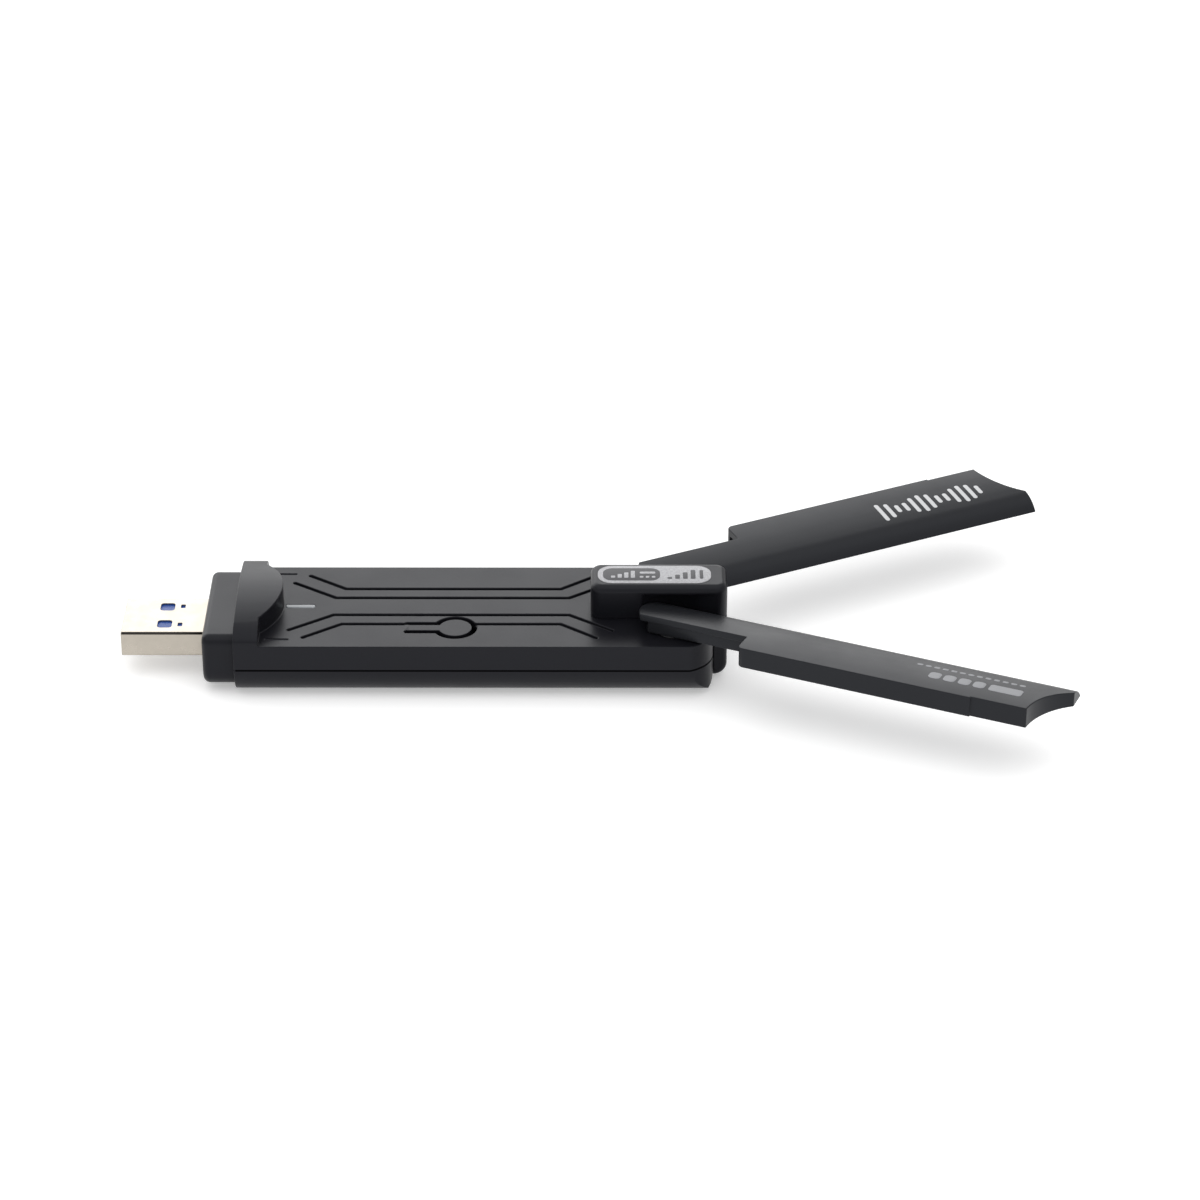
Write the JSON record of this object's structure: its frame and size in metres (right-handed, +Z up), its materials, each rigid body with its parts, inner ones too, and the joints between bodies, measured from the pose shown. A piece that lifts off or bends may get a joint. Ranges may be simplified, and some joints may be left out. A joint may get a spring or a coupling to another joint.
{
  "type": "usb wifi adapter",
  "caption": "Black USB Wi-Fi adapter: long flat housing with a metal plug, a press button, a domed front hump and two blade antennas that swing out from a rear hinge bridge.",
  "frame": {"origin": "middle of the flat rest face under the housing, halfway along the housing without the plug", "axes": "+X from the plug towards the antenna hinges, along the housing; +Z up, out of the top face; +Y to the far antenna"},
  "size_m": [0.1574, 0.0827, 0.0164],
  "materials": {
    "antenna_abs": "satin injection-moulded ABS, black",
    "black_abs": "satin injection-moulded ABS, black",
    "blue_lcp": "blue moulded insulator",
    "board_green": "solder-masked glass epoxy",
    "ceramic_tan": "ceramic capacitor body",
    "chip_black": "epoxy package",
    "coax_black": "fluoropolymer coax jacket",
    "copper": "printed copper",
    "ferrite": "ferrite",
    "gold_plate": "gold-plated contact",
    "label_film": "pale silver metallised label",
    "led_white": "LED resin",
    "nickel_steel": "nickel-plated drawn steel",
    "pad_grey": "silicone thermal pad",
    "pipe_white": "translucent white light guide",
    "print_ink": "pad-printed dark grey ink",
    "switch_grey": "nylon switch body",
    "tin_steel": "tin-plated sheet",
    "washer_nylon": "nylon thrust washer"
  },
  "bodies": {
    "housing": {"top_shell": "black_abs", "bottom_shell": "black_abs", "front_collar": "black_abs", "hinge_bridge": "black_abs", "label_plate": "label_film", "label_print": "print_ink", "bridge_screws": "tin_steel", "thrust_washers": "washer_nylon", "usb_shell": "nickel_steel", "usb_insulator": "blue_lcp", "usb_contacts": "gold_plate", "usb_ss_contacts": "gold_plate", "circuit_board": "board_green", "shield_frame": "tin_steel", "shield_lid": "tin_steel", "wifi_chip": "chip_black", "thermal_pad": "pad_grey", "power_regulator": "chip_black", "power_inductor": "ferrite", "crystal": "tin_steel", "flash_chip": "chip_black", "smd_capacitors": "ceramic_tan", "smd_resistors": "chip_black", "status_led": "led_white", "light_pipe": "pipe_white", "switch_base": "switch_grey", "coax_sockets": "gold_plate", "coax_plugs": "gold_plate", "lead_near": "coax_black", "lead_far": "coax_black"},
    "wps_button": {"wps_button": "black_abs", "switch_plunger": "switch_grey"},
    "near_antenna": {"near_cover": "antenna_abs", "near_base": "antenna_abs", "near_board": "board_green", "near_trace": "copper", "near_tail": "coax_black", "near_washer": "tin_steel", "near_clip": "tin_steel"},
    "far_antenna": {"far_cover": "antenna_abs", "far_base": "antenna_abs", "far_board": "board_green", "far_trace": "copper", "far_tail": "coax_black", "far_washer": "tin_steel", "far_clip": "tin_steel"}
  },
  "joints": [
    {"name": "near_antenna_hinge", "type": "hinge", "parent": "housing", "child": "near_antenna", "pos_m": [0.0359, -0.0079, 0.0102], "axis": [0, 0, 1], "range_deg": [-156.5, 0.8]},
    {"name": "far_antenna_hinge", "type": "hinge", "parent": "housing", "child": "far_antenna", "pos_m": [0.0359, 0.0079, 0.0102], "axis": [0, 0, 1], "range_deg": [-3.8, 153.5]},
    {"name": "wps_button_press", "type": "hinge", "parent": "housing", "child": "wps_button", "pos_m": [-0.0085, -0.0072, 0.0095], "axis": [0, 1, 0], "range_deg": [0, 2.4], "stiffness_Nm_per_rad": 0.38}
  ]
}
